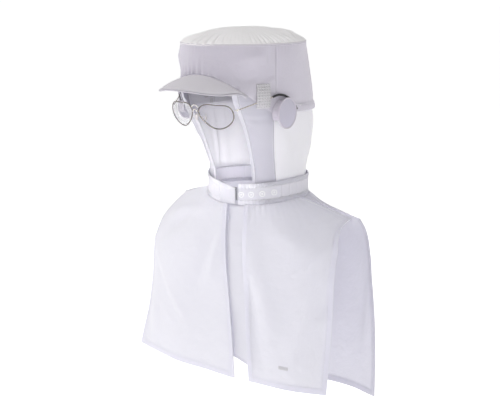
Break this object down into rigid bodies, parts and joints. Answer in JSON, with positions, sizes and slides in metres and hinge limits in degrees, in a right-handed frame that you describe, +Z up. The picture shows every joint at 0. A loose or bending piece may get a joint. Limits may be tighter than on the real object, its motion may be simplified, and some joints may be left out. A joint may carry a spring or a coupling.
{
  "type": "clean-room hood with shoulder cape",
  "caption": "White cloth hood with a peaked cap, ear covers, spectacle loops holding spectacles, a snap neck band and a shoulder cape slit at the sides and open in front.",
  "frame": {"origin": "centre of the cap's head opening, at the height of the wearer's hat band", "axes": "+Z up, the wearer looks along -Y, +X is the wearer's left"},
  "size_m": [0.4026, 0.3013, 0.5592],
  "materials": {
    "crown_cloth": "fine plain weave",
    "piping": "corded seam",
    "cap_cloth": "fine plain weave",
    "lining": "soft lining",
    "elastic": "ribbed webbing",
    "visor_cloth": "fine plain weave over board",
    "visor_board": "smooth",
    "binding": "folded tape",
    "hood_cloth": "fine plain weave",
    "neck_tape": "twill tape",
    "casing": "gathered casing",
    "snap_plastic": "moulded",
    "cape_cloth": "fine plain weave",
    "placket_cloth": "fine plain weave",
    "label": "blank woven label",
    "gold_metal": "polished",
    "cheek_cloth": "fine plain weave",
    "loop_cloth": "grid-knit patch",
    "ear_mesh_cloth": "sheer mesh",
    "ear_binding": "folded tape",
    "rim_metal": "dark polished",
    "lens": "clear",
    "pad_silicone": "clear silicone",
    "tip_plastic": "black polished"
  },
  "bodies": {
    "hood": {"crown_panel": "crown_cloth", "crown_piping": "piping", "cap_front_panel": "cap_cloth", "cap_rear_panel": "cap_cloth", "sweatband": "lining", "rear_elastic": "elastic", "visor_upper_cover": "visor_cloth", "visor_stiffener": "visor_board", "visor_lower_cover": "visor_cloth", "visor_binding": "binding", "rear_drape": "hood_cloth", "snap_tape": "neck_tape", "neck_elastic": "elastic", "right_neck_tape": "neck_tape", "band_top_casing": "casing", "band_bottom_casing": "casing", "ring_snaps": "snap_plastic", "left_front_yoke": "cape_cloth", "right_front_yoke": "cape_cloth", "back_yoke": "cape_cloth", "placket_strip": "placket_cloth", "left_cheek_panel": "cheek_cloth", "left_face_binding": "binding", "left_glasses_loop": "loop_cloth", "left_ear_gusset": "ear_binding", "right_cheek_panel": "cheek_cloth", "right_face_binding": "binding", "right_glasses_loop": "loop_cloth", "right_ear_gusset": "ear_binding"},
    "left_front": {"left_front_panel": "cape_cloth", "size_label": "label"},
    "right_front": {"right_front_panel": "cape_cloth"},
    "back": {"back_panel": "cape_cloth"},
    "left_ear_cover": {"left_ear_mesh": "ear_mesh_cloth", "left_ear_rim": "ear_binding"},
    "right_ear_cover": {"right_ear_mesh": "ear_mesh_cloth", "right_ear_rim": "ear_binding"},
    "tab": {"neck_tab": "neck_tape", "tab_stud": "snap_plastic"},
    "spectacles": {"brow_bar": "gold_metal", "nose_bridge": "gold_metal", "left_rim": "rim_metal", "left_lens": "lens", "left_pad_arm": "gold_metal", "left_nose_pad": "pad_silicone", "left_end_piece": "gold_metal", "left_hinge_barrel": "gold_metal", "left_temple": "gold_metal", "left_temple_tip": "tip_plastic", "right_rim": "rim_metal", "right_lens": "lens", "right_pad_arm": "gold_metal", "right_nose_pad": "pad_silicone", "right_end_piece": "gold_metal", "right_hinge_barrel": "gold_metal", "right_temple": "gold_metal", "right_temple_tip": "tip_plastic"}
  },
  "joints": [
    {"name": "left_front_lift", "type": "hinge", "parent": "hood", "child": "left_front", "pos_m": [0.05178, -0.07363, -0.2], "axis": [-0.8841, -0.4673, 0], "range_deg": [0, 40]},
    {"name": "right_front_lift", "type": "hinge", "parent": "hood", "child": "right_front", "pos_m": [0.00552, -0.08697, -0.2], "axis": [-0.9386, 0.345, 0], "range_deg": [0, 40]},
    {"name": "back_lift", "type": "hinge", "parent": "hood", "child": "back", "pos_m": [0, 0.1132, -0.2], "axis": [1, 0, 0], "range_deg": [0, 25]},
    {"name": "left_ear_cover_open", "type": "hinge", "parent": "hood", "child": "left_ear_cover", "pos_m": [0.0943, -0.0429, -0.007], "axis": [0, 0, -1], "range_deg": [0, 60], "stiffness_Nm_per_rad": 0.002},
    {"name": "right_ear_cover_open", "type": "hinge", "parent": "hood", "child": "right_ear_cover", "pos_m": [-0.0943, -0.0429, -0.007], "axis": [0, 0, 1], "range_deg": [0, 60], "stiffness_Nm_per_rad": 0.002},
    {"name": "neck_tab_open", "type": "hinge", "parent": "hood", "child": "tab", "pos_m": [-0.01997, -0.03422, -0.132], "axis": [0, 0, -1], "range_deg": [0, 80], "stiffness_Nm_per_rad": 0.003},
    {"name": "spectacles_tilt", "type": "hinge", "parent": "hood", "child": "spectacles", "pos_m": [0, -0.053, 0.0135], "axis": [1, 0, 0], "range_deg": [-3, 5]}
  ]
}
